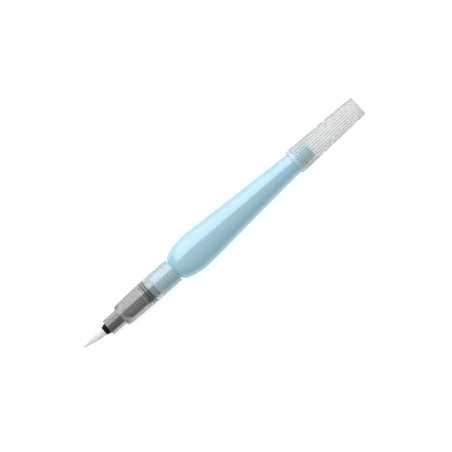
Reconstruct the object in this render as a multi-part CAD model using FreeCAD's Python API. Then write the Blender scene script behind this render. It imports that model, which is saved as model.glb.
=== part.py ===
import FreeCAD, Part
import math
import os

# Brush pen with a squeezable water barrel, cap pushed on the tail. Millimetres.
# X runs along the pen from the bristle tip (-X) to the closed end of the cap (+X), Z is up.
# A station is a distance from the bristle tip, measured along the pen.

# Whole pen
PEN_LENGTH = 183.0
AXIS_HEIGHT = 6.75

# Bristle tuft: outline from the tip, then a round base about the point it bends at
TUFT_OUTLINE = [(0.0, 0.0), (0.05, 0.15), (2.0, 0.62), (4.0, 1.1), (6.0, 1.48), (8.0, 1.76)]
TUFT_BASE_RADIUS = 2.0
TUFT_BEND_STATION = 10.8

# Fused root of the tuft
ROOT_RIM_START = 12.98
ROOT_RIM_RADIUS = 2.2
ROOT_STEM_RADIUS = 1.85
ROOT_STEM_END = 17.5

# Tip holder
HOLDER_START = 13.25
HOLDER_FACE_RADIUS = 2.35
HOLDER_CONE_END = 15.4
HOLDER_RADIUS = 2.92
HOLDER_END = 24.3
HOLDER_ROOT_BORE = 1.9
HOLDER_ROOT_BORE_END = 17.6
HOLDER_SOCKET_RADIUS = 2.05
HOLDER_SOCKET_START = 21.0

# Feed core and the felt wick in it
CORE_SPIGOT_RADIUS = 2.0
CORE_SPIGOT_START = 21.1
CORE_SHOULDER_START = 25.8
CORE_SHOULDER_MID = (27.5, 3.62)
CORE_SHOULDER_END = 31.0
CORE_RADIUS = 4.35
CORE_END = 39.0
WICK_RADIUS = 1.25
WICK_START = 17.7
WICK_END = 37.2
WICK_BORE = 1.3

# Clear sleeve: nose tube, seat for the cap and screw collar
NOSE_START = 15.75
NOSE_CHAMFER = 0.4
NOSE_RADIUS = 4.45
NOSE_BORE = 3.0
NOSE_END = 24.4
SEAT_RADIUS = 5.68
SEAT_END = 25.2
COLLAR_OUTLINE = [
    (25.2, 5.95),
    (25.6, 6.12),
    (34.0, 6.42),
    (42.0, 6.6),
    (45.0, 6.66),
    (59.1, 6.66),
    (59.5, 6.3),
]
COLLAR_END = 59.5
COLLAR_BORE = 5.27
SHOULDER_BORE_START = 24.9
SHOULDER_BORE_BEND = (25.9, 4.75)
SHOULDER_BORE_END = 28.2
THREAD_RECESS_START = 47.6
THREAD_RECESS_RADIUS = 5.8

# Two fine V grooves round the collar
RING_STATIONS = [41.7, 43.1]
RING_WIDTH = 0.44
RING_RIM_RADIUS = 6.68
RING_FLOOR_RADIUS = 6.36

# Screw thread between the collar and the neck, right-handed
THREAD_PITCH = 2.05
NECK_THREAD_START = 49.2
NECK_THREAD_TURNS = 4.5
NECK_THREAD_CREST = 5.72
NECK_THREAD_WIDTHS = (1.1, 0.62)
COLLAR_THREAD_TURNS = 5.0
COLLAR_THREAD_CREST = 5.3
COLLAR_THREAD_WIDTHS = (1.0, 0.56)
THREAD_ROOT_OVERLAP = 0.08

# Gasket between the feed core and the flow plug
GASKET_START = 39.02
GASKET_END = 39.68
GASKET_RADII = (3.2, 5.1)

# Barrel: neck, then half width and half thickness of the oval body at each station
NECK_START = 43.5
NECK_RADIUS = 5.2
NECK_BORE = 4.6
BARREL_WALL = 0.8
BARREL_SECTIONS = [
    (60.2, 5.75, 5.7),
    (60.6, 6.4, 5.9),
    (61.2, 7.0, 6.08),
    (62.2, 7.6, 6.28),
    (63.6, 8.17, 6.46),
    (65.2, 8.65, 6.58),
    (67.6, 9.2, 6.68),
    (70.4, 9.6, 6.73),
    (73.8, 9.78, 6.75),
    (78.0, 9.64, 6.75),
    (84.0, 9.27, 6.71),
    (92.0, 8.67, 6.6),
    (102.0, 8.0, 6.42),
    (113.0, 7.27, 6.2),
    (124.0, 6.59, 5.97),
    (133.0, 6.05, 5.78),
    (140.0, 5.67, 5.62),
    (146.0, 5.46, 5.43),
    (153.0, 5.2, 5.2),
]
INNER_SHIFT_LENGTH = 8.0
TRIM_START = 58.0
TRIM_RADIUS = 12.0
TAIL_END = 150.6
TAIL_FLAT_RADIUS = 3.7
TAIL_ROUND_START = 148.5
TAIL_ROUND_RADIUS = 5.6
TAIL_ROUND_BULGE = 0.35

# Flow plug: flange on the mouth of the neck, stem pushed into its bore, spigot towards the wick
PLUG_FLANGE_START = 39.7
PLUG_FLANGE_END = 43.48
PLUG_FLANGE_RADIUS = 4.9
PLUG_STEM_END = 47.4
PLUG_STEM_RADIUS = 4.58
PLUG_SPIGOT_START = 37.5
PLUG_SPIGOT_RADIUS = 1.22
PLUG_HOLE_RADIUS = 0.4
PLUG_CUP_RADIUS = 3.4
PLUG_CUP_START = 41.6

# Cap on the tail
CAP_MOUTH = 140.0
CAP_LIP_END = 141.6
CAP_MOUTH_RADIUS = 6.75
CAP_LIP_FACE_RADIUS = 6.25
CAP_LIP_ROUND_MID = (140.13, 6.58)
CAP_LIP_ROUND_END = 140.5
CAP_END_RADIUS = 5.65
CAP_END_ROUND_MID = (182.85, 5.36)
CAP_FLUTES_END = 182.4
CAP_FLAT_RADIUS = 5.0
CAP_MOUTH_BORE = 5.75
CAP_BORE_END = 181.9
CAP_BORE_LEAD = 0.25
FLUTE_COUNT = 28
FLUTE_DEPTH = 0.14


def point(station, radius, angle=0.0):
    """Point at a station and distance from the pen's axis, the angle measured from +Y."""
    across = radius * math.cos(angle)
    up = radius * math.sin(angle)
    return FreeCAD.Vector(station - PEN_LENGTH / 2, across, up + AXIS_HEIGHT)


AXIS_START = point(0, 0)
AXIS_DIRECTION = FreeCAD.Vector(1, 0, 0)


def turned(outline):
    """Solid of revolution about the pen's axis. A three-point entry is an arc: (mid, end)."""
    edges = []
    last = outline[0]
    for step in outline[1:] + [outline[0]]:
        if isinstance(step[0], tuple):
            middle, end = step
            edges.append(Part.Arc(point(*last), point(*middle), point(*end)).toShape())
            last = end
        else:
            edges.append(Part.LineSegment(point(*last), point(*step)).toShape())
            last = step
    face = Part.Face(Part.Wire(edges))
    return face.revolve(AXIS_START, AXIS_DIRECTION, 360)


def rod(start, end, radius):
    """Plain cylinder on the pen's axis."""
    return Part.makeCylinder(radius, end - start, point(start, 0), AXIS_DIRECTION)


def oval_body(sections):
    """Smooth closed solid of oval section through (station, half width, half thickness) rows."""
    spine = Part.BSplineCurve()
    spine.interpolate(Points=[FreeCAD.Vector(*section) for section in sections])
    corner_weight = math.sqrt(0.5)
    ring = [(1, 0), (1, 1), (0, 1), (-1, 1), (-1, 0), (-1, -1), (0, -1), (1, -1), (1, 0)]
    poles = []
    weights = []
    for across, up in ring:
        row = []
        for pole in spine.getPoles():
            row.append(point(pole.x, 0) + FreeCAD.Vector(0, across * pole.y, up * pole.z))
        poles.append(row)
        weight = corner_weight if across and up else 1.0
        weights.append([weight] * len(row))
    surface = Part.BSplineSurface()
    surface.buildFromPolesMultsKnots(
        poles,
        [3, 2, 2, 2, 3],
        spine.getMultiplicities(),
        [0.0, 0.25, 0.5, 0.75, 1.0],
        spine.getKnots(),
        False,
        False,
        2,
        spine.Degree,
        weights,
    )
    side = surface.toShape()
    ends = [Part.Face(Part.Wire(edge)) for edge in side.Edges if edge.isClosed()]
    shell = Part.makeShell([side] + ends)
    shell.sewShape()
    solid = Part.makeSolid(shell)
    if solid.Volume < 0:
        solid.reverse()
    return solid


def thread_ridge(start, turns, root, crest, widths):
    """Helical ridge of trapezoid section, from its root radius to its crest radius."""
    root_half = widths[0] / 2
    crest_half = widths[1] / 2
    helix = Part.makeHelix(THREAD_PITCH, THREAD_PITCH * turns, root)
    corners = [(root, -root_half), (crest, -crest_half), (crest, crest_half), (root, root_half)]
    loop = [FreeCAD.Vector(radius, 0, height) for radius, height in corners]
    profile = Part.makePolygon(loop + [loop[0]])
    ridge = Part.Wire(helix).makePipeShell([profile], True, True)
    ridge.rotate(FreeCAD.Vector(0, 0, 0), FreeCAD.Vector(0, 1, 0), 90)
    ridge.translate(point(start, 0))
    return ridge


def fluted_wire(station, crest_radius):
    """Closed ring of convex flutes across the pen."""
    step = 2 * math.pi / FLUTE_COUNT
    valley_radius = crest_radius - FLUTE_DEPTH
    edges = []
    for index in range(FLUTE_COUNT):
        angle = index * step
        start = point(station, valley_radius, angle)
        middle = point(station, crest_radius, angle + step / 2)
        end = point(station, valley_radius, angle + step)
        edges.append(Part.Arc(start, middle, end).toShape())
    return Part.Wire(edges)


def make_bristle_tuft():
    slant = TUFT_BASE_RADIUS * math.sin(math.pi / 4)
    base_mid = (TUFT_BEND_STATION + slant, slant)
    base_end = (TUFT_BEND_STATION + TUFT_BASE_RADIUS, 0.0)
    widest = (TUFT_BEND_STATION, TUFT_BASE_RADIUS)
    return turned(TUFT_OUTLINE + [widest, (base_mid, base_end)])


def make_tuft_root():
    rim = rod(ROOT_RIM_START, HOLDER_START, ROOT_RIM_RADIUS)
    stem = rod(HOLDER_START, ROOT_STEM_END, ROOT_STEM_RADIUS)
    return rim.fuse(stem)


def make_tip_holder():
    body = turned([
        (HOLDER_START, 0.0),
        (HOLDER_START, HOLDER_FACE_RADIUS),
        (HOLDER_CONE_END, HOLDER_RADIUS),
        (HOLDER_END, HOLDER_RADIUS),
        (HOLDER_END, 0.0),
    ])
    hollows = [
        rod(HOLDER_START, HOLDER_ROOT_BORE_END, HOLDER_ROOT_BORE),
        rod(HOLDER_ROOT_BORE_END, HOLDER_SOCKET_START, WICK_BORE),
        rod(HOLDER_SOCKET_START, HOLDER_END, HOLDER_SOCKET_RADIUS),
    ]
    return body.cut(hollows)


def make_feed_core():
    shoulder_end = (CORE_SHOULDER_END, CORE_RADIUS)
    body = turned([
        (CORE_SPIGOT_START, 0.0),
        (CORE_SPIGOT_START, CORE_SPIGOT_RADIUS),
        (CORE_SHOULDER_START, CORE_SPIGOT_RADIUS),
        (CORE_SHOULDER_MID, shoulder_end),
        (CORE_END, CORE_RADIUS),
        (CORE_END, 0.0),
    ])
    return body.cut(rod(CORE_SPIGOT_START, CORE_END, WICK_BORE))


def make_felt_wick():
    return rod(WICK_START, WICK_END, WICK_RADIUS)


def make_head_sleeve():
    outside = [
        (NOSE_START, NOSE_RADIUS - NOSE_CHAMFER),
        (NOSE_START + NOSE_CHAMFER, NOSE_RADIUS),
        (NOSE_END, NOSE_RADIUS),
        (NOSE_END, SEAT_RADIUS),
        (SEAT_END, SEAT_RADIUS),
    ]
    inside = [
        (COLLAR_END, THREAD_RECESS_RADIUS),
        (THREAD_RECESS_START, THREAD_RECESS_RADIUS),
        (THREAD_RECESS_START, COLLAR_BORE),
        (SHOULDER_BORE_END, COLLAR_BORE),
        SHOULDER_BORE_BEND,
        (SHOULDER_BORE_START, NOSE_BORE),
        (NOSE_START, NOSE_BORE),
    ]
    body = turned(outside + COLLAR_OUTLINE + inside)
    for station in RING_STATIONS:
        groove = turned([
            (station - RING_WIDTH / 2, RING_RIM_RADIUS),
            (station + RING_WIDTH / 2, RING_RIM_RADIUS),
            (station, RING_FLOOR_RADIUS),
        ])
        body = body.cut(groove)
    ridge = thread_ridge(
        NECK_THREAD_START - THREAD_PITCH / 2,
        COLLAR_THREAD_TURNS,
        THREAD_RECESS_RADIUS + THREAD_ROOT_OVERLAP,
        COLLAR_THREAD_CREST,
        COLLAR_THREAD_WIDTHS,
    )
    return body.fuse(ridge)


def make_mouth_gasket():
    inner, outer = GASKET_RADII
    return rod(GASKET_START, GASKET_END, outer).cut(rod(GASKET_START, GASKET_END, inner))


def make_flow_plug():
    flange = rod(PLUG_FLANGE_START, PLUG_FLANGE_END, PLUG_FLANGE_RADIUS)
    stem = rod(PLUG_FLANGE_END, PLUG_STEM_END, PLUG_STEM_RADIUS)
    spigot = rod(PLUG_SPIGOT_START, PLUG_FLANGE_START, PLUG_SPIGOT_RADIUS)
    hole = rod(PLUG_SPIGOT_START, PLUG_CUP_START, PLUG_HOLE_RADIUS)
    cup = rod(PLUG_CUP_START, PLUG_STEM_END, PLUG_CUP_RADIUS)
    return flange.fuse([stem, spigot]).cut([hole, cup])


def rounded_envelope(inset):
    """Wide round solid with a rounded back end that trims the oval body, moved in by an inset."""
    round_start = (TAIL_ROUND_START - inset, TAIL_ROUND_RADIUS - inset)
    flat_edge = (TAIL_END - inset, TAIL_FLAT_RADIUS - inset)
    middle = (
        (round_start[0] + flat_edge[0]) / 2 + TAIL_ROUND_BULGE,
        (round_start[1] + flat_edge[1]) / 2 + TAIL_ROUND_BULGE,
    )
    return turned([
        (TRIM_START, 0.0),
        (TRIM_START, TRIM_RADIUS),
        (round_start[0], TRIM_RADIUS),
        round_start,
        (middle, flat_edge),
        (flat_edge[0], 0.0),
    ])


def inner_section(station, half_width, half_thickness):
    """Inside of the barrel at one outside section: the wall comes off, and off the shoulder too."""
    first_station = BARREL_SECTIONS[0][0]
    fade = max(0.0, 1.0 - (station - first_station) / INNER_SHIFT_LENGTH)
    return (station + BARREL_WALL * fade, half_width - BARREL_WALL, half_thickness - BARREL_WALL)


def make_reservoir_barrel():
    shoulder = BARREL_SECTIONS[0][0]
    neck = rod(NECK_START, shoulder + BARREL_WALL, NECK_RADIUS)
    ridge = thread_ridge(
        NECK_THREAD_START,
        NECK_THREAD_TURNS,
        NECK_RADIUS - THREAD_ROOT_OVERLAP,
        NECK_THREAD_CREST,
        NECK_THREAD_WIDTHS,
    )
    outside = oval_body(BARREL_SECTIONS).common(rounded_envelope(0.0))
    inner_sections = [inner_section(*section) for section in BARREL_SECTIONS]
    inside = oval_body(inner_sections).common(rounded_envelope(BARREL_WALL))
    bore = rod(NECK_START, shoulder + 2 * BARREL_WALL, NECK_BORE)
    body = outside.fuse(neck).cut(inside).cut(bore)
    return body.fuse(ridge)


def make_cap():
    taper = (CAP_MOUTH_RADIUS - CAP_END_RADIUS) / (CAP_FLUTES_END - CAP_LIP_END)
    flutes = Part.makeLoft(
        [fluted_wire(CAP_LIP_END, CAP_MOUTH_RADIUS), fluted_wire(CAP_FLUTES_END, CAP_END_RADIUS)],
        True,
        True,
    )
    lip = turned([
        (CAP_MOUTH, 0.0),
        (CAP_MOUTH, CAP_LIP_FACE_RADIUS),
        (CAP_LIP_ROUND_MID, (CAP_LIP_ROUND_END, CAP_MOUTH_RADIUS)),
        (CAP_LIP_END, CAP_MOUTH_RADIUS),
        (CAP_LIP_END, 0.0),
    ])
    end = turned([
        (CAP_FLUTES_END, 0.0),
        (CAP_FLUTES_END, CAP_END_RADIUS - FLUTE_DEPTH),
        (CAP_END_ROUND_MID, (PEN_LENGTH, CAP_FLAT_RADIUS)),
        (PEN_LENGTH, 0.0),
    ])
    end_bore = CAP_MOUTH_BORE - taper * (CAP_BORE_END - CAP_MOUTH)
    bore = turned([
        (CAP_MOUTH, 0.0),
        (CAP_MOUTH, CAP_MOUTH_BORE + CAP_BORE_LEAD),
        (CAP_MOUTH + CAP_BORE_LEAD, CAP_MOUTH_BORE),
        (CAP_BORE_END, end_bore),
        (CAP_BORE_END, 0.0),
    ])
    return flutes.fuse(lip).fuse(end).cut(bore)


PIECES = {
    "bristle_tuft": make_bristle_tuft,
    "tuft_root": make_tuft_root,
    "tip_holder": make_tip_holder,
    "head_sleeve": make_head_sleeve,
    "feed_core": make_feed_core,
    "felt_wick": make_felt_wick,
    "mouth_gasket": make_mouth_gasket,
    "flow_plug": make_flow_plug,
    "reservoir_barrel": make_reservoir_barrel,
    "cap": make_cap,
}

os.makedirs("parts", exist_ok=True)
for name, make in PIECES.items():
    solid = make().removeSplitter().Solids[0]
    solid.exportStep(os.path.join("parts", name + ".step"))
    print(name, "valid" if solid.isValid() else "not valid", round(solid.Volume, 1), "mm3")
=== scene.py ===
import math
import random

import bpy
from mathutils import Euler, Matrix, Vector

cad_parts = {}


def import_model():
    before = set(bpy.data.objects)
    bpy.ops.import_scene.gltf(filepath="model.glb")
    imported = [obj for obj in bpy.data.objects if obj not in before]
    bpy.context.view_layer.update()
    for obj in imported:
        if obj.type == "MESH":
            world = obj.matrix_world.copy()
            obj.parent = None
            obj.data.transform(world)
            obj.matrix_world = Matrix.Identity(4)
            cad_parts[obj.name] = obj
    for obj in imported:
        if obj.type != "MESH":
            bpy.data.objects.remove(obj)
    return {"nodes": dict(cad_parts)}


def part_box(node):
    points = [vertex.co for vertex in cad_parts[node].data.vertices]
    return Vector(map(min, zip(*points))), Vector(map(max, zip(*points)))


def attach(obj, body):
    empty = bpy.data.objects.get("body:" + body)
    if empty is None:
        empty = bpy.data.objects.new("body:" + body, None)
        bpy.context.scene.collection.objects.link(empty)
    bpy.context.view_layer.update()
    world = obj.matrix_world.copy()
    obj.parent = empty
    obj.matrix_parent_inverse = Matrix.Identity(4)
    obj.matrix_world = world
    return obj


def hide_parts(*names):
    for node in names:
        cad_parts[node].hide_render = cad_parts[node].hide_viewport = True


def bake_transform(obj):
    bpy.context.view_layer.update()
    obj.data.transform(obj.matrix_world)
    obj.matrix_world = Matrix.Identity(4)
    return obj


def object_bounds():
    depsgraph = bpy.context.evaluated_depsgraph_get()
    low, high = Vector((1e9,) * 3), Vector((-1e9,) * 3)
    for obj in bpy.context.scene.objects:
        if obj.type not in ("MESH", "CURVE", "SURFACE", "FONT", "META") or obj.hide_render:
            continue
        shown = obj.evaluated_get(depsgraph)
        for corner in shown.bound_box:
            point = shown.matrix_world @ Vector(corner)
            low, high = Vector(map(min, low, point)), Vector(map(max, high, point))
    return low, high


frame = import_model()
CAD_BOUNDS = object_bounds()

# Lengths are in millimetres along the pen from the bristle tip ("stations") and turned into metres
# of the CAD frame by at(). Angles run from +Y towards +Z.
MM = 0.001
TIP_X = CAD_BOUNDS[0].x
AXIS_Z = (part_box("flow_plug")[0].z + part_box("flow_plug")[1].z) / 2


def at(station, across=0.0, up=0.0):
    """Point of the CAD frame from a station and two offsets from the pen's axis, in millimetres."""
    return Vector((TIP_X + station * MM, across * MM, AXIS_Z + up * MM))


# ---------------------------------------------------------------- outlines

PITCH = 2.05
NECK_THREAD = {"start": 49.2, "turns": 4.5, "pitch": PITCH, "widths": (1.1, 0.62), "height": 0.52}
COLLAR_THREAD = {"start": 48.175, "turns": 5.0, "pitch": PITCH, "widths": (1.0, 0.56), "height": 0.5}
HELIX_START_ANGLE = -math.pi / 2
# turns over which a ridge rises from nothing, inside and outside its ends
RIDGE_EASE_INSIDE = 0.1
RIDGE_EASE_OUTSIDE = 0.02

# station, half width and half thickness
BARREL_SECTIONS = [
    (60.2, 5.75, 5.7), (60.6, 6.4, 5.9), (61.2, 7.0, 6.08), (62.2, 7.6, 6.28), (63.6, 8.17, 6.46),
    (65.2, 8.65, 6.58), (67.6, 9.2, 6.68), (70.4, 9.6, 6.73), (73.8, 9.78, 6.75), (78.0, 9.64, 6.75),
    (84.0, 9.27, 6.71), (92.0, 8.67, 6.6), (102.0, 8.0, 6.42), (113.0, 7.27, 6.2), (124.0, 6.59, 5.97),
    (133.0, 6.05, 5.78), (140.0, 5.67, 5.62), (146.0, 5.46, 5.43), (153.0, 5.2, 5.2),
]
BARREL_WALL = 0.8


def hermite(rows, x, column):
    """Smooth curve through the rows of a table, read at x."""
    last = len(rows) - 1
    k = 0
    while k < last - 1 and x > rows[k + 1][0]:
        k += 1

    def slope(i):
        low, high = max(i - 1, 0), min(i + 1, last)
        return (rows[high][column] - rows[low][column]) / (rows[high][0] - rows[low][0])

    x0, x1 = rows[k][0], rows[k + 1][0]
    h = x1 - x0
    t = min(max((x - x0) / h, 0.0), 1.0)
    y0, y1 = rows[k][column], rows[k + 1][column]
    m0, m1 = slope(k) * h, slope(k + 1) * h
    t2, t3 = t * t, t * t * t
    return y0 * (2 * t3 - 3 * t2 + 1) + m0 * (t3 - 2 * t2 + t) + y1 * (3 * t2 - 2 * t3) + m1 * (t3 - t2)


def smoothstep(low, high, x):
    """0 below low, 1 above high and a smooth rise between them."""
    t = min(max((x - low) / (high - low), 0.0), 1.0)
    return t * t * (3 - 2 * t)


def softened(corners, steps=5):
    """Outline with its corners rounded. Each corner is (station, radius, rounding)."""
    out = []
    count = len(corners)
    for i, (s, r, rounding) in enumerate(corners):
        here = Vector((s, r))
        if rounding <= 0 or i in (0, count - 1):
            out.append((s, r))
            continue
        before = Vector(corners[i - 1][:2]) - here
        after = Vector(corners[i + 1][:2]) - here
        a = here + before.normalized() * min(rounding, before.length * 0.45)
        b = here + after.normalized() * min(rounding, after.length * 0.45)
        for k in range(steps + 1):
            t = k / steps
            p = a * (1 - t) ** 2 + here * (2 * t * (1 - t)) + b * t ** 2
            out.append((p.x, p.y))
    return out


def divided(outline, longest):
    """Outline with every run no longer than a given length."""
    out = [outline[0]]
    for a, b in zip(outline, outline[1:]):
        length = math.hypot(b[0] - a[0], b[1] - a[1])
        steps = max(1, math.ceil(length / longest))
        for k in range(1, steps + 1):
            t = k / steps
            out.append((a[0] + (b[0] - a[0]) * t, a[1] + (b[1] - a[1]) * t))
    return out


def thread_height(thread, station, angle):
    """How far a helical ridge stands out at a station and angle."""
    base = ((angle - HELIX_START_ANGLE) / (2 * math.pi)) % 1.0
    turn = base + round((station - thread["start"]) / thread["pitch"] - base)
    distance = abs(station - thread["start"] - thread["pitch"] * turn)
    wide, narrow = thread["widths"][0] / 2, thread["widths"][1] / 2
    section = 1.0 - smoothstep(narrow, wide, distance)
    run_in = smoothstep(-RIDGE_EASE_OUTSIDE, RIDGE_EASE_INSIDE, turn)
    end = thread["turns"]
    run_out = 1.0 - smoothstep(end - RIDGE_EASE_INSIDE, end + RIDGE_EASE_OUTSIDE, turn)
    return thread["height"] * section * (run_in * run_out)


# ---------------------------------------------------------------- meshes

SMOOTH_DEGREES = 35.0


def new_object(name, vertices, faces, smooth_degrees=SMOOTH_DEGREES):
    mesh = bpy.data.meshes.new(name)
    mesh.from_pydata(vertices, [], faces)
    mesh.validate()
    mesh.polygons.foreach_set("use_smooth", [True] * len(mesh.polygons))
    mesh.set_sharp_from_angle(angle=math.radians(smooth_degrees))
    obj = bpy.data.objects.new(name, mesh)
    bpy.context.scene.collection.objects.link(obj)
    return obj


def ring_faces(rings, segments, closed=False):
    """Quads between rings of vertices, each ring joined to the next, and the last to the first if closed."""
    faces = []
    for i in range(rings if closed else rings - 1):
        j = (i + 1) % rings
        for k in range(segments):
            n = (k + 1) % segments
            faces.append((i * segments + k, j * segments + k, j * segments + n, i * segments + n))
    return faces


def end_fans(rings, segments, first, last):
    """Triangles that close the first ring and the last ring on a vertex each."""
    end = (rings - 1) * segments
    faces = []
    for k in range(segments):
        n = (k + 1) % segments
        faces.append((first, k, n))
        faces.append((last, end + n, end + k))
    return faces


def turned(name, outline, segments, place, closed=False, smooth_degrees=SMOOTH_DEGREES):
    """Mesh swept about the pen's axis. place(station, radius, angle) gives the offsets across and up.
    An open outline starts and ends on the axis; a closed one never meets it."""
    rings = outline if closed else outline[1:-1]
    vertices = []
    for station, radius in rings:
        for k in range(segments):
            vertices.append(at(station, *place(station, radius, 2 * math.pi * k / segments)))
    faces = ring_faces(len(rings), segments, closed)
    if not closed:
        faces += end_fans(len(rings), segments, len(vertices), len(vertices) + 1)
        vertices += [at(outline[0][0]), at(outline[-1][0])]
    obj = new_object(name, vertices, faces, smooth_degrees)
    orient_outwards(obj)
    return obj


def orient_outwards(obj):
    """Turn every face outwards, judged by the sign of the enclosed volume."""
    volume = 0.0
    for polygon in obj.data.polygons:
        corners = [obj.data.vertices[i].co for i in polygon.vertices]
        for b, c in zip(corners[1:], corners[2:]):
            volume += (corners[0] - at(0)).dot((b - at(0)).cross(c - at(0)))
    if volume < 0:
        obj.data.flip_normals()


def place_of(polygon):
    """Station, offset across and offset up of a face's centre, in millimetres."""
    centre = polygon.center
    return (centre.x - TIP_X) / MM, centre.y / MM, (centre.z - AXIS_Z) / MM


def keep(obj, body, slot, *nodes):
    """Fix an object to a body in place of CAD nodes, which are hidden. slot is not used."""
    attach(obj, body)
    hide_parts(*nodes)


# ---------------------------------------------------------------- materials

def material(name):
    """New node material, with its tree and its main shader."""
    mat = bpy.data.materials.new(name)
    mat.use_nodes = True
    tree = mat.node_tree
    shader = tree.nodes["Principled BSDF"]
    return mat, tree, shader


def node(tree, kind, **values):
    """New shader node. Each value goes to the setting of that name, or else to the input."""
    made = tree.nodes.new(kind)
    for key, value in values.items():
        if hasattr(made, key):
            setattr(made, key, value)
        else:
            made.inputs[key].default_value = value
    return made


def noise(tree, scale, detail=3.0, roughness=0.55, stretch=(1.0, 1.0, 1.0)):
    """Noise in object space, in features per metre, stretched along the axes."""
    coordinates = tree.nodes.new("ShaderNodeTexCoord")
    mapping = tree.nodes.new("ShaderNodeMapping")
    mapping.inputs["Scale"].default_value = stretch
    tree.links.new(coordinates.outputs["Object"], mapping.inputs["Vector"])
    texture = node(tree, "ShaderNodeTexNoise", Scale=scale, Detail=detail, Roughness=roughness)
    tree.links.new(mapping.outputs["Vector"], texture.inputs["Vector"])
    return texture.outputs["Fac"]


def ramp(tree, source, stops):
    """Colour from a value, between two (position, colour) stops."""
    made = tree.nodes.new("ShaderNodeValToRGB")
    tree.links.new(source, made.inputs["Fac"])
    for element, (position, colour) in zip(made.color_ramp.elements, stops):
        element.position = position
        element.color = (*colour, 1.0)
    return made.outputs["Color"]


def scaled(tree, source, low, high):
    """Value from 0 to 1 brought between low and high."""
    made = tree.nodes.new("ShaderNodeMapRange")
    tree.links.new(source, made.inputs["Value"])
    made.inputs["To Min"].default_value = low
    made.inputs["To Max"].default_value = high
    return made.outputs["Result"]


def bump(tree, source, shader, distance, strength=1.0):
    made = tree.nodes.new("ShaderNodeBump")
    made.inputs["Distance"].default_value = distance
    made.inputs["Strength"].default_value = strength
    tree.links.new(source, made.inputs["Height"])
    tree.links.new(made.outputs["Normal"], shader.inputs["Normal"])


def lets_lamps_through(mat, tree, shader, tint):
    """Clear plastic that lamps shine through, so that what is inside is lit."""
    path = tree.nodes.new("ShaderNodeLightPath")
    clear = tree.nodes.new("ShaderNodeBsdfTransparent")
    clear.inputs["Color"].default_value = (*tint, 1.0)
    mix = tree.nodes.new("ShaderNodeMixShader")
    output = tree.nodes["Material Output"]
    tree.links.new(path.outputs["Is Shadow Ray"], mix.inputs["Fac"])
    tree.links.new(shader.outputs["BSDF"], mix.inputs[1])
    tree.links.new(clear.outputs["BSDF"], mix.inputs[2])
    tree.links.new(mix.outputs["Shader"], output.inputs["Surface"])


PLASTIC_IOR = 1.49
GLOSS_IOR = 2.6


def clear_plastic(name, tint, roughness, transmission, shadow, ior=PLASTIC_IOR, coat=0.0):
    """Clear moulding: what isn't passed on is scattered as haze. shadow is the tint of light let through."""
    mat, tree, shader = material(name)
    grain = noise(tree, 900.0, 2.0)
    shader.inputs["Base Color"].default_value = (*tint, 1.0)
    shader.inputs["Transmission Weight"].default_value = transmission
    shader.inputs["IOR"].default_value = ior
    shader.inputs["Coat Weight"].default_value = coat
    shader.inputs["Coat Roughness"].default_value = 0.1
    shader.inputs["Coat IOR"].default_value = GLOSS_IOR
    tree.links.new(scaled(tree, grain, roughness * 0.7, roughness * 1.3), shader.inputs["Roughness"])
    bump(tree, noise(tree, 260.0, 1.0, 0.4, (0.25, 1.0, 1.0)), shader, 0.00001, 0.2)
    lets_lamps_through(mat, tree, shader, shadow)
    return mat


def moulded(name, low, high, roughness, gloss=0.5, grain_size=2600.0):
    """Opaque moulding with a fine grain between two colours."""
    mat, tree, shader = material(name)
    grain = noise(tree, grain_size, 4.0, 0.6)
    tree.links.new(ramp(tree, grain, [(0.3, low), (0.75, high)]), shader.inputs["Base Color"])
    tree.links.new(scaled(tree, grain, roughness * 0.8, roughness * 1.25), shader.inputs["Roughness"])
    shader.inputs["Specular IOR Level"].default_value = gloss
    bump(tree, grain, shader, 0.00002, 0.5)
    return mat


CLEAR_NOSE = clear_plastic("clear_nose_plastic", (0.34, 0.343, 0.35), 0.1, 0.95, (0.92,) * 3, coat=0.38)
CLEAR_HEAD = clear_plastic("clear_head_plastic", (0.36, 0.363, 0.37), 0.1, 0.96, (0.94,) * 3, coat=0.5)
CLEAR_COLLAR = clear_plastic("clear_collar_plastic", (0.68, 0.687, 0.697), 0.14, 0.82, (0.94,) * 3, coat=0.5)
HEAD_BORE = clear_plastic("clear_head_bore_plastic", (0.97, 0.97, 0.98), 0.25, 1.0, (0.97,) * 3)
CLEAR_THREAD = clear_plastic("wet_thread_plastic", (0.96, 0.965, 0.97), 0.25, 0.94, (0.97,) * 3, ior=1.14)
# Dark tint for the faces inside the two ring grooves: painted shade that darkens the recesses.
GROOVE_PAINTED_SHADE = clear_plastic("groove_painted_shade_plastic", (0.13, 0.13, 0.135), 0.3, 0.8, (0.6,) * 3)
# Pale, mostly opaque plastic on the two bore steps: painted highlight lines in place of the glint on their
# edges.
STEP_PAINTED_HIGHLIGHT = clear_plastic("step_painted_highlight_plastic", (0.97, 0.97, 0.97), 0.5, 0.3, (0.9,) * 3)
CLEAR_CAP = clear_plastic("clear_cap_plastic", (0.83, 0.835, 0.84), 0.12, 0.8, (0.95, 0.96, 0.96))
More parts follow.
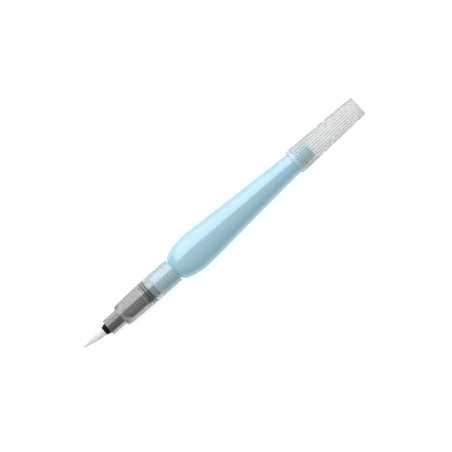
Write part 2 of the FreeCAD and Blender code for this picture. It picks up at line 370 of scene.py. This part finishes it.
# Darker tint for the outer faces round each flute's valley: painted shade in the flutes.
CAP_VALLEY_PAINTED_SHADE = clear_plastic("clear_cap_valley_painted_shade_plastic", (0.53, 0.534, 0.538), 0.2, 0.76, (0.93,) * 3)
CAP_BORE = clear_plastic("clear_cap_bore_plastic", (0.98, 0.98, 0.985), 0.25, 0.96, (0.98,) * 3)
CLEAR_NECK = clear_plastic("clear_blue_neck_plastic", (0.04, 0.37, 0.54), 0.2, 0.6, (0.75, 0.88, 0.92))
BLACK = moulded("black_moulded_plastic", (0.002, 0.002, 0.003), (0.005, 0.005, 0.006), 0.35, 0.12)
CORE = moulded("dark_core_plastic", (0.16, 0.16, 0.175), (0.22, 0.22, 0.235), 0.45, 0.3)
PLUG = moulded("dark_plug_plastic", (0.003, 0.005, 0.009), (0.007, 0.011, 0.016), 0.4, 0.15)
GASKET = moulded("pale_gasket_rubber", (0.4, 0.41, 0.42), (0.5, 0.51, 0.52), 0.55)
NYLON = moulded("fused_white_nylon", (0.85, 0.85, 0.84), (0.95, 0.95, 0.94), 0.4)
FELT = moulded("cream_felt", (0.55, 0.53, 0.47), (0.78, 0.76, 0.7), 0.95, 0.2, 5200.0)


def barrel_material(name, low, high, coat):
    """Soft translucent plastic, faintly cloudy. coat is the weight of its glossy skin."""
    mat, tree, shader = material(name)
    cloud = noise(tree, 120.0, 3.0, 0.5, (0.3, 1.0, 1.0))
    tree.links.new(ramp(tree, cloud, [(0.25, low), (0.8, high)]), shader.inputs["Base Color"])
    grain = noise(tree, 1500.0, 3.0)
    tree.links.new(scaled(tree, grain, 0.3, 0.42), shader.inputs["Roughness"])
    shader.inputs["Subsurface Weight"].default_value = 0.3
    shader.inputs["Subsurface Radius"].default_value = (0.4, 0.8, 1.0)
    shader.inputs["Subsurface Scale"].default_value = 0.002
    shader.inputs["Coat Weight"].default_value = coat
    shader.inputs["Coat Roughness"].default_value = 0.15
    shader.inputs["Coat IOR"].default_value = GLOSS_IOR
    shader.inputs["Specular IOR Level"].default_value = 0.15
    bump(tree, noise(tree, 190.0, 2.0, 0.5, (0.2, 1.0, 1.0)), shader, 0.00005, 0.5)
    return mat


BLUE = barrel_material("translucent_blue_plastic", (0.33, 0.615, 0.76), (0.385, 0.675, 0.81), 0.62)
PALE_BLUE = barrel_material("pale_blue_neck_plastic", (0.32, 0.67, 0.81), (0.4, 0.74, 0.87), 0.0)


def bristle_material():
    """White filament with streaks along it."""
    mat, tree, shader = material("white_nylon_filament")
    streak = noise(tree, 2500.0, 2.0, 0.5, (0.04, 1.0, 1.0))
    colour = ramp(tree, streak, [(0.3, (0.9, 0.9, 0.9)), (0.8, (0.98, 0.98, 0.975))])
    tree.links.new(colour, shader.inputs["Base Color"])
    tree.links.new(scaled(tree, streak, 0.3, 0.5), shader.inputs["Roughness"])
    bump(tree, streak, shader, 0.00002, 0.6)
    return mat


BRISTLE = bristle_material()

# ---------------------------------------------------------------- clear sleeve

# stations and radii of the sleeve
NOSE_MOUTH = 15.75
NOSE_BORE = 3.02
NOSE_END = 24.6
COLLAR_FRONT = 44.0
THREAD_FRONT = 47.7
COLLAR_END = 59.5
COLLAR_RADIUS = 6.66
RECESS_FRONT = 48.0
RECESS_RADIUS = 5.8
COLLAR_BORE = 5.27
BORE_STEP = 47.2
RING_STATIONS = (41.7, 43.1)
RING_HALF_WIDTH = 0.21
RING_FLOOR = 6.36
COLLAR_THREAD_ZONE = (47.75, 59.4)


def sleeve_outline():
    """Closed section of the sleeve: outside from front to back, then the bores from back to front."""
    outer = [
        (NOSE_MOUTH, NOSE_BORE, 0.0), (NOSE_MOUTH, 4.45, 0.3), (24.4, 4.5, 0.12), (24.4, 5.68, 0.15),
        (25.2, 5.68, 0.08), (25.2, 6.06, 0.3), (34.0, 6.42, 1.0),
    ]
    for station in RING_STATIONS:
        outer += [
            (station - RING_HALF_WIDTH, 6.6, 0.03), (station, RING_FLOOR, 0.04),
            (station + RING_HALF_WIDTH, 6.61, 0.03),
        ]
    outer += [(46.0, COLLAR_RADIUS, 0.5), (COLLAR_END, COLLAR_RADIUS, 0.3), (COLLAR_END, RECESS_RADIUS, 0.12)]
    inner = [
        (RECESS_FRONT, RECESS_RADIUS, 0.1), (BORE_STEP, COLLAR_BORE, 0.1), (28.2, COLLAR_BORE, 0.8),
        (25.9, 4.75, 0.4), (24.9, 3.0, 0.2), (NOSE_MOUTH, NOSE_BORE, 0.0),
    ]
    outline = softened(outer + inner)[:-1]
    return [outline[0]] + divided(outline, 0.14)[1:]


def sleeve_material(station, radius):
    """The sleeve's material at a station and radius."""
    # The two bore steps take the pale plastic: painted highlight lines.
    collar_step = BORE_STEP < station < RECESS_FRONT and radius < 5.81
    nose_step = 24.75 < station < 25.1 and radius < 3.5
    if collar_step or nose_step:
        return STEP_PAINTED_HIGHLIGHT
    # Faces inside the ring grooves take the dark plastic: painted shade.
    if radius > RING_FLOOR and any(abs(station - ring) < RING_HALF_WIDTH for ring in RING_STATIONS):
        return GROOVE_PAINTED_SHADE
    bore = 3.2 if station < 24.9 else 5.3 if station < BORE_STEP else 5.85
    if radius < bore:
        return HEAD_BORE if station < THREAD_FRONT else CLEAR_THREAD
    if station > COLLAR_FRONT:
        return CLEAR_COLLAR
    return CLEAR_NOSE if station < NOSE_END else CLEAR_HEAD


def sleeve():
    def place(station, radius, angle):
        low, high = COLLAR_THREAD_ZONE
        if low < station < high and abs(radius - RECESS_RADIUS) < 0.1:
            radius -= thread_height(COLLAR_THREAD, station, angle)
        return radius * math.cos(angle), radius * math.sin(angle)

    obj = turned("head_sleeve_clear", sleeve_outline(), 128, place, closed=True)
    materials = (CLEAR_HEAD, HEAD_BORE, GROOVE_PAINTED_SHADE, STEP_PAINTED_HIGHLIGHT, CLEAR_COLLAR, CLEAR_NOSE, CLEAR_THREAD)
    for mat in materials:
        obj.data.materials.append(mat)
    for polygon in obj.data.polygons:
        station, across, up = place_of(polygon)
        polygon.material_index = materials.index(sleeve_material(station, math.hypot(across, up)))
    keep(obj, "head", "clear_head", "head_sleeve")


sleeve()

# ---------------------------------------------------------------- barrel

# stations and radii of the barrel
MOUTH = 43.5
NECK_BORE = 4.6
NECK_RADIUS = 5.2
TAIL_START = 147.0
TAIL_END = 150.6
TAIL_SECTION = 149.6
TAIL = [(TAIL_START, 1.0), (148.2, 0.985), (149.1, 0.94), (149.8, 0.87), (150.3, 0.77), (TAIL_END, 0.63)]
NECK_THREAD_ZONE = (48.0, 59.9)
CLEAR_NECK_END = 47.6
PALE_NECK_END = 59.3
SEAM_HEIGHT = 0.045
SEAM_WIDTH = 0.16
BARREL_SEGMENTS = 144


def width(station):
    """Half width of the barrel."""
    return hermite(BARREL_SECTIONS, station, 1)


def thickness(station):
    """Half thickness of the barrel."""
    return hermite(BARREL_SECTIONS, station, 2)


def barrel_outside():
    """Rings (station, half width, half thickness, part) from the mouth to the tail's end."""
    neck = softened([
        (MOUTH, NECK_BORE, 0.0), (MOUTH, NECK_RADIUS, 0.12), (60.05, NECK_RADIUS, 0.1), (60.2, 5.75, 0.0),
    ])
    rings = [(station, radius, radius, "neck") for station, radius in divided(neck, 0.13)]
    station = 60.3
    while station < TAIL_START:
        rings.append((station, width(station), thickness(station), "body"))
        station += 0.15 if station < 64 else 0.7
    across, up = width(TAIL_SECTION), thickness(TAIL_SECTION)
    for station, share in TAIL + [(TAIL_END, 0.5), (TAIL_END, 0.25)]:
        rings.append((station, across * share, up * share, "body"))
    return rings


def barrel_inside():
    """Rings of the bore, from the mouth to the tail's end."""
    rings = [(float(station), NECK_BORE, NECK_BORE, "in") for station in range(44, 61, 2)]
    rings += [(61.0, 4.65, 4.65, "in"), (61.6, 5.6, 5.2, "in")]
    stations = []
    station = 145.8
    while station > 62.5:
        stations.append(station)
        station -= 1.2
    for station in reversed(stations):
        rings.append((station, width(station) - BARREL_WALL, thickness(station) - BARREL_WALL, "in"))
    for station, share in TAIL:
        inner = station - BARREL_WALL
        across, up = width(inner) - BARREL_WALL, thickness(inner) - BARREL_WALL
        rings.append((inner, across * share, up * share, "in"))
    return rings


def barrel_relief(part, station, across, angle):
    """How far the neck's thread or the moulding seam stands out."""
    low, high = NECK_THREAD_ZONE
    if part == "neck" and low < station < high:
        return thread_height(NECK_THREAD, station, angle)
    if part == "body":
        seam = math.exp(-((math.sin(angle) * across) / SEAM_WIDTH) ** 2)
        return SEAM_HEIGHT * seam * smoothstep(60.5, 62.0, station)
    return 0.0


def barrel():
    rings = list(reversed(barrel_inside())) + barrel_outside()
    vertices = []
    for station, across, up, part in rings:
        for k in range(BARREL_SEGMENTS):
            angle = 2 * math.pi * k / BARREL_SEGMENTS
            extra = barrel_relief(part, station, across, angle)
            vertices.append(at(station, (across + extra) * math.cos(angle), (up + extra) * math.sin(angle)))
    faces = ring_faces(len(rings), BARREL_SEGMENTS)
    faces += end_fans(len(rings), BARREL_SEGMENTS, len(vertices), len(vertices) + 1)
    vertices += [at(rings[0][0]), at(rings[-1][0])]
    obj = new_object("reservoir_barrel_blue", vertices, faces, 40.0)
    orient_outwards(obj)
    for mat in (BLUE, PALE_BLUE, CLEAR_NECK):
        obj.data.materials.append(mat)
    for polygon in obj.data.polygons:
        station = place_of(polygon)[0]
        polygon.material_index = 2 if station < CLEAR_NECK_END else 1 if station < PALE_NECK_END else 0
    keep(obj, "barrel", "blue_barrel", "reservoir_barrel")


barrel()

# ---------------------------------------------------------------- cap

FLUTES = 28
FLUTE_DEPTH = 0.2
FLUTE_ROUNDNESS = 0.75
FLUTED_SKIN = 0.6
STEPS_PER_FLUTE = 8
# FLUTE_SHADE: share of each flute's pitch, either side of its valley, that takes the darker painted-shade
# plastic.
FLUTE_SHADE = 0.25
# stations and radii of the cap
CAP_MOUTH = 140.0
CAP_END = 183.0
CAP_MOUTH_RADIUS = 6.75
CAP_END_RADIUS = 5.65
TAPER_START = 141.6
TAPER_END = 182.4
FLUTE_START = 141.5


def cap_radius(station):
    taper = max(0.0, station - TAPER_START) / (TAPER_END - TAPER_START)
    return CAP_MOUTH_RADIUS - (CAP_MOUTH_RADIUS - CAP_END_RADIUS) * taper


def cap_outline():
    """Section of the cap, from the floor of the bore round the mouth to the closed end."""
    bore = softened([(181.9, 0.0, 0.0), (181.9, 4.62, 0.6), (140.25, 5.75, 0.1), (CAP_MOUTH, 6.0, 0.12)])
    lip = softened([
        (CAP_MOUTH, 6.0, 0.0), (CAP_MOUTH, 6.72, 0.3),
        (141.4, CAP_MOUTH_RADIUS, 0.1), (TAPER_START, 6.7, 0.0),
    ])
    body = [(tenths / 10.0, cap_radius(tenths / 10.0)) for tenths in range(1418, 1824, 8)]
    end = softened([
        (182.3, CAP_END_RADIUS, 0.0), (182.9, 5.6, 0.5), (CAP_END, 4.9, 0.3), (CAP_END, 0.0, 0.0),
    ])
    return divided(bore, 1.2) + lip[1:] + body + end[1:]


def cap():
    def place(station, radius, angle):
        if station > FLUTE_START and radius > cap_radius(station) - FLUTED_SKIN:
            valley = 1.0 - abs(math.sin(angle * FLUTES / 2)) ** FLUTE_ROUNDNESS
            radius -= FLUTE_DEPTH * valley * smoothstep(FLUTE_START, FLUTE_START + 0.5, station)
        return radius * math.cos(angle), radius * math.sin(angle)

    obj = turned("cap_fluted", cap_outline(), FLUTES * STEPS_PER_FLUTE, place, smooth_degrees=50.0)
    for mat in (CLEAR_CAP, CAP_VALLEY_PAINTED_SHADE, CAP_BORE):
        obj.data.materials.append(mat)
    for polygon in obj.data.polygons:
        station, across, up = place_of(polygon)
        step = (math.atan2(up, across) / (2 * math.pi)) % 1.0 * FLUTES % 1.0
        outside = math.hypot(across, up) > cap_radius(station) - 0.4
        if not outside:
            polygon.material_index = 2
        # Outer faces round each flute's valley take the darker plastic: painted shade.
        elif 142.0 < station < 182.3 and not FLUTE_SHADE < step < 1 - FLUTE_SHADE:
            polygon.material_index = 1
    keep(obj, "cap", "clear_cap", "cap")


cap()

# ---------------------------------------------------------------- bristle tuft

# station and radius of the tuft's outline
TUFT = [
    (-0.8, 0.16), (0.0, 0.3), (1.0, 0.5), (2.0, 0.7), (4.0, 1.1), (6.0, 1.46), (8.0, 1.74), (10.5, 1.96),
    (12.6, 2.03), (13.2, 2.0),
]
TUFT_CURVE = 0.6
TUFT_ROOT = 12.95
FILAMENTS = 900
FILAMENT_SIDES = 5
FILAMENT_STEPS = 12
HEART_SIDES = 24
HEART_STEPS = 26
GOLDEN_ANGLE = 2.399963


def drift(station):
    """How far the tuft's middle lies off the axis, most at its tip."""
    return TUFT_CURVE * (1.0 - smoothstep(3.0, 13.0, station))


def add_rod(vertices, faces, rows, sides):
    """Closed rod through rows of (station, offset across, offset up, radius)."""
    first = len(vertices)
    for station, across, up, radius in rows:
        for side in range(sides):
            a = 2 * math.pi * side / sides
            vertices.append(at(station, across + radius * math.cos(a), up + radius * math.sin(a)))
    for step in range(len(rows) - 1):
        for side in range(sides):
            n = (side + 1) % sides
            low, high = first + step * sides, first + (step + 1) * sides
            faces.append((low + side, low + n, high + n, high + side))
    last = first + (len(rows) - 1) * sides
    faces.append(tuple(first + side for side in reversed(range(sides))))
    faces.append(tuple(last + side for side in range(sides)))


def heart_rows():
    """The filled middle of the tuft, just inside the filaments."""
    rows = []
    for step in range(HEART_STEPS + 1):
        station = TUFT_ROOT * step / HEART_STEPS
        rows.append((station, drift(station), 0.0, hermite(TUFT, station, 1) * 0.9 - 0.06))
    return rows


def filament_rows(index, rng):
    """One filament, from its tip back to the root. Most filaments lie near the surface of the tuft."""
    central = index < FILAMENTS / 6
    spread = math.sqrt((index + 0.5) / FILAMENTS) if central else rng.uniform(0.9, 1.0)
    angle = index * GOLDEN_ANGLE + rng.uniform(-0.1, 0.1)
    start = rng.uniform(-0.8, 0.1) if spread < 0.4 else rng.random() ** 2.0 * 5.0 * spread
    twist = rng.uniform(-0.12, 0.12)
    thick = rng.uniform(0.05, 0.065)
    rows = []
    for step in range(FILAMENT_STEPS + 1):
        t = step / FILAMENT_STEPS
        station = start + (TUFT_ROOT - start) * t
        envelope = hermite(TUFT, station, 1)
        reach = max(0.0, envelope - thick * 0.5) * (spread + (1.0 - spread) * 0.1 * (1 - t))
        turn = angle + twist * (1 - t)
        radius = thick * (0.25 + 0.75 * smoothstep(0.0, 0.6, t))
        rows.append((station, reach * math.cos(turn) + drift(station), reach * math.sin(turn), radius))
    return rows


def tuft():
    rng = random.Random(7)
    vertices, faces = [], []
    add_rod(vertices, faces, heart_rows(), HEART_SIDES)
    for index in range(FILAMENTS):
        add_rod(vertices, faces, filament_rows(index, rng), FILAMENT_SIDES)
    obj = new_object("bristle_filaments", vertices, faces, 80.0)
    obj.data.materials.append(BRISTLE)
    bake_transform(obj)
    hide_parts("bristle_tuft")


tuft()

# ---------------------------------------------------------------- inner pieces

INNER_MATERIALS = {
    "tuft_root": NYLON, "tip_holder": BLACK, "feed_core": CORE,
    "felt_wick": FELT, "mouth_gasket": GASKET, "flow_plug": PLUG,
}
for name, mat in INNER_MATERIALS.items():
    part = frame["nodes"][name]
    part.data.materials.clear()
    part.data.materials.append(mat)

# ---------------------------------------------------------------- floor, light, camera

# sizes and distances of the floor, lights and camera are in metres
FLOOR_HALF = 3.0
GLOW_NEAR = 0.14
GLOW_FAR = 1.1


def eased(tree, source, start, end, low, high):
    """Value that goes smoothly from low to high while the source goes from start to end."""
    made = tree.nodes.new("ShaderNodeMapRange")
    made.interpolation_type = "SMOOTHSTEP"
    made.inputs["From Min"].default_value = start
    made.inputs["From Max"].default_value = end
    made.inputs["To Min"].default_value = low
    made.inputs["To Max"].default_value = high
    tree.links.new(source, made.inputs["Value"])
    return made.outputs["Result"]


def floor():
    """Pale flat floor, self-lit under the pen like a light table and greyer further out."""
    mesh = bpy.data.meshes.new("floor")
    corners = [(x * FLOOR_HALF, y * FLOOR_HALF, 0) for x, y in ((-1, -1), (1, -1), (1, 1), (-1, 1))]
    mesh.from_pydata(corners, [], [(0, 1, 2, 3)])
    obj = bpy.data.objects.new("floor", mesh)
    bpy.context.scene.collection.objects.link(obj)
    mat, tree, shader = material("pale_floor")
    shader.inputs["Base Color"].default_value = (0.45, 0.45, 0.45, 1.0)
    shader.inputs["Roughness"].default_value = 0.9
    shader.inputs["Specular IOR Level"].default_value = 0.1
    shader.inputs["Emission Color"].default_value = (1.0, 1.0, 1.0, 1.0)
    coordinates = tree.nodes.new("ShaderNodeTexCoord")
    distance = node(tree, "ShaderNodeVectorMath", operation="LENGTH")
    tree.links.new(coordinates.outputs["Object"], distance.inputs[0])
    glow = eased(tree, distance.outputs["Value"], GLOW_NEAR, GLOW_FAR, 0.75, 0.34)
    tree.links.new(glow, shader.inputs["Emission Strength"])
    obj.data.materials.append(mat)


floor()


LIGHT_DISTANCE = 0.9
LIGHT_LENGTH = 0.52
LIGHT_STATION = 92.0


def panel(name, direction_degrees, across, radiance):
    """Flat soft light on the +Y side, facing the pen, at an angle from straight up."""
    lamp = bpy.data.lights.new(name, "AREA")
    lamp.shape = "RECTANGLE"
    lamp.size = LIGHT_LENGTH
    lamp.size_y = across
    lamp.energy = radiance * math.pi * LIGHT_LENGTH * across
    obj = bpy.data.objects.new(name, lamp)
    tilt = math.radians(direction_degrees)
    obj.location = at(LIGHT_STATION) + Vector((0, math.sin(tilt), math.cos(tilt))) * LIGHT_DISTANCE
    obj.rotation_euler = Euler((-tilt, 0, 0))
    bpy.context.scene.collection.objects.link(obj)


panel("key_upper", 46.0, 0.95, 1.85)
panel("key_side", 84.0, 0.3, 1.5)


def world():
    """Soft fill, brighter overhead and on the key side, darker near the horizon. The backdrop stays pale."""
    made = bpy.data.worlds.new("studio")
    bpy.context.scene.world = made
    made.use_nodes = True
    tree = made.node_tree
    background = tree.nodes["Background"]
    coordinates = tree.nodes.new("ShaderNodeTexCoord")
    facing = node(tree, "ShaderNodeVectorMath", operation="DOT_PRODUCT")
    tree.links.new(coordinates.outputs["Generated"], facing.inputs[0])
    facing.inputs[1].default_value = (0.0, 0.5, 0.86)
    fill = eased(tree, facing.outputs["Value"], -0.3, 0.9, 0.36, 0.72)
    path = tree.nodes.new("ShaderNodeLightPath")
    choose = tree.nodes.new("ShaderNodeMix")
    tree.links.new(path.outputs["Is Camera Ray"], choose.inputs["Factor"])
    tree.links.new(fill, choose.inputs["A"])
    choose.inputs["B"].default_value = 0.6
    tree.links.new(choose.outputs["Result"], background.inputs["Strength"])
    background.inputs["Color"].default_value = (1.0, 1.0, 1.0, 1.0)


world()

LENS = 200.0
SENSOR = 36.0
FRAME_WIDTH = 0.226
FRAME_CENTRE = (0.0021, -0.00105)
FRAME_TURN_DEGREES = -41.64


def camera():
    """Looks straight down on the pen from far off, turned so that the tip is at the lower left."""
    data = bpy.data.cameras.new("camera")
    data.lens = LENS
    data.sensor_width = SENSOR
    data.clip_start = 0.05
    data.clip_end = 20.0
    obj = bpy.data.objects.new("camera", data)
    bpy.context.scene.collection.objects.link(obj)
    obj.location = Vector((*FRAME_CENTRE, AXIS_Z + FRAME_WIDTH * LENS / SENSOR))
    obj.rotation_euler = Euler((0, 0, math.radians(FRAME_TURN_DEGREES)))
    bpy.context.scene.camera = obj


camera()
bpy.context.scene.view_settings.view_transform = "Standard"
